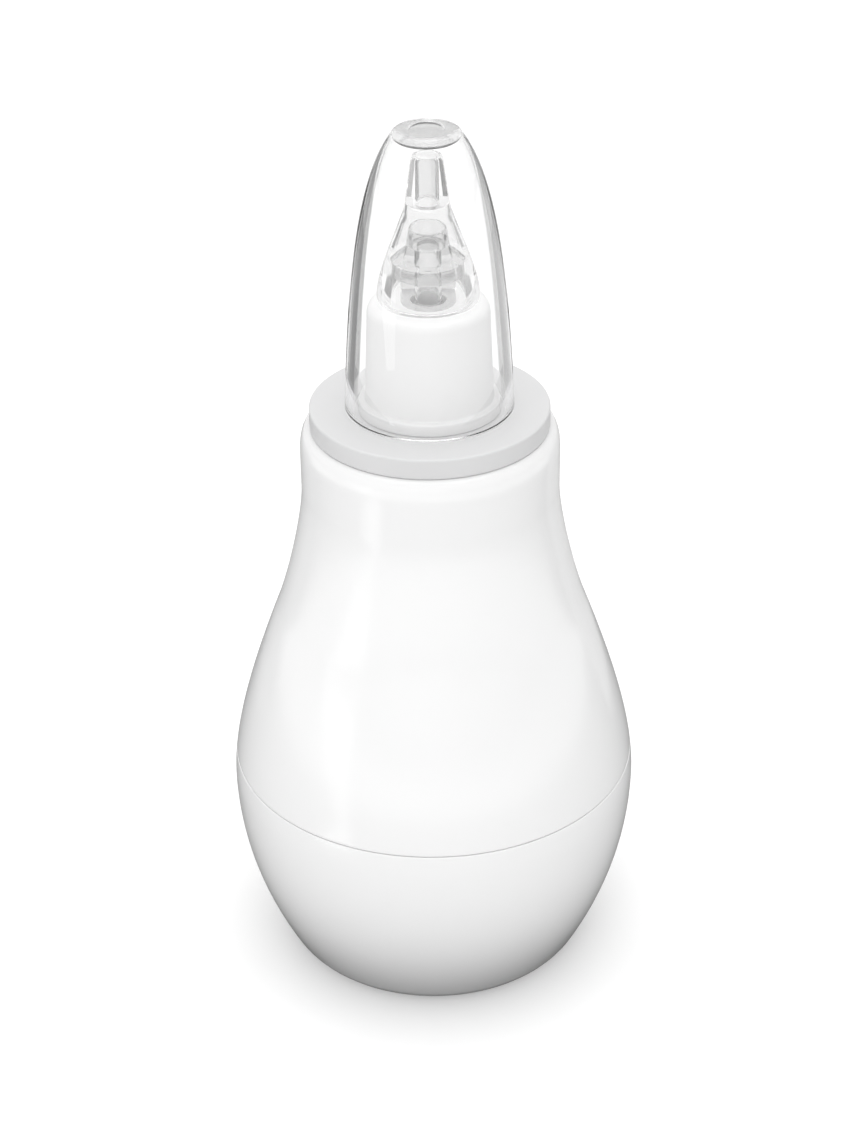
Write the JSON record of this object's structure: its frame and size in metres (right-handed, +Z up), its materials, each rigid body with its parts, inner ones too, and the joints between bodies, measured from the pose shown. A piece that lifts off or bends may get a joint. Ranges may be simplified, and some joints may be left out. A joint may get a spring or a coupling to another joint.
{
  "type": "nasal aspirator",
  "caption": "Hand-squeezed baby nasal aspirator: white pear-shaped bulb on a flat foot, grey collar, white cone, clear soft nozzle under a clear bullet-shaped cap.",
  "frame": {"origin": "centre of the bulb's flat foot, on the surface that it stands on", "axes": "+Z up along the axis of the bulb, nozzle and cap; X and Y are any two level directions, because every piece is round"},
  "size_m": [0.05, 0.05, 0.1082],
  "materials": {
    "bulb_soft_plastic": "soft white plastic, satin gloss",
    "collar_plastic": "light grey hard plastic, satin",
    "holder_plastic": "white hard plastic, glossy",
    "stem_clear_plastic": "clear hard plastic",
    "seal_rubber": "grey soft rubber, matt",
    "tip_silicone": "clear silicone, slightly hazy",
    "cap_clear_plastic": "clear hard plastic, polished"
  },
  "bodies": {
    "base": {"bulb_base": "bulb_soft_plastic"},
    "bulb": {"bulb_body": "bulb_soft_plastic"},
    "head": {"collar": "collar_plastic", "nozzle_holder": "holder_plastic", "nozzle_stem": "stem_clear_plastic", "sealing_ring": "seal_rubber"},
    "tip": {"soft_tip": "tip_silicone"},
    "cap": {"protective_cap": "cap_clear_plastic"}
  },
  "joints": [
    {"name": "bulb_squeeze", "type": "slide", "parent": "base", "child": "bulb", "axis": [0, 0, -1], "range_m": [0, 0.012], "stiffness_N_per_m": 2000, "deforming": ["bulb_base"]},
    {"name": "head_pull", "type": "slide", "parent": "bulb", "child": "head", "axis": [0, 0, 1], "range_m": [0, 0.03]},
    {"name": "tip_pull", "type": "slide", "parent": "head", "child": "tip", "axis": [0, 0, 1], "range_m": [0, 0.02]},
    {"name": "cap_pull", "type": "slide", "parent": "tip", "child": "cap", "axis": [0, 0, 1], "range_m": [0, 0.045]}
  ]
}
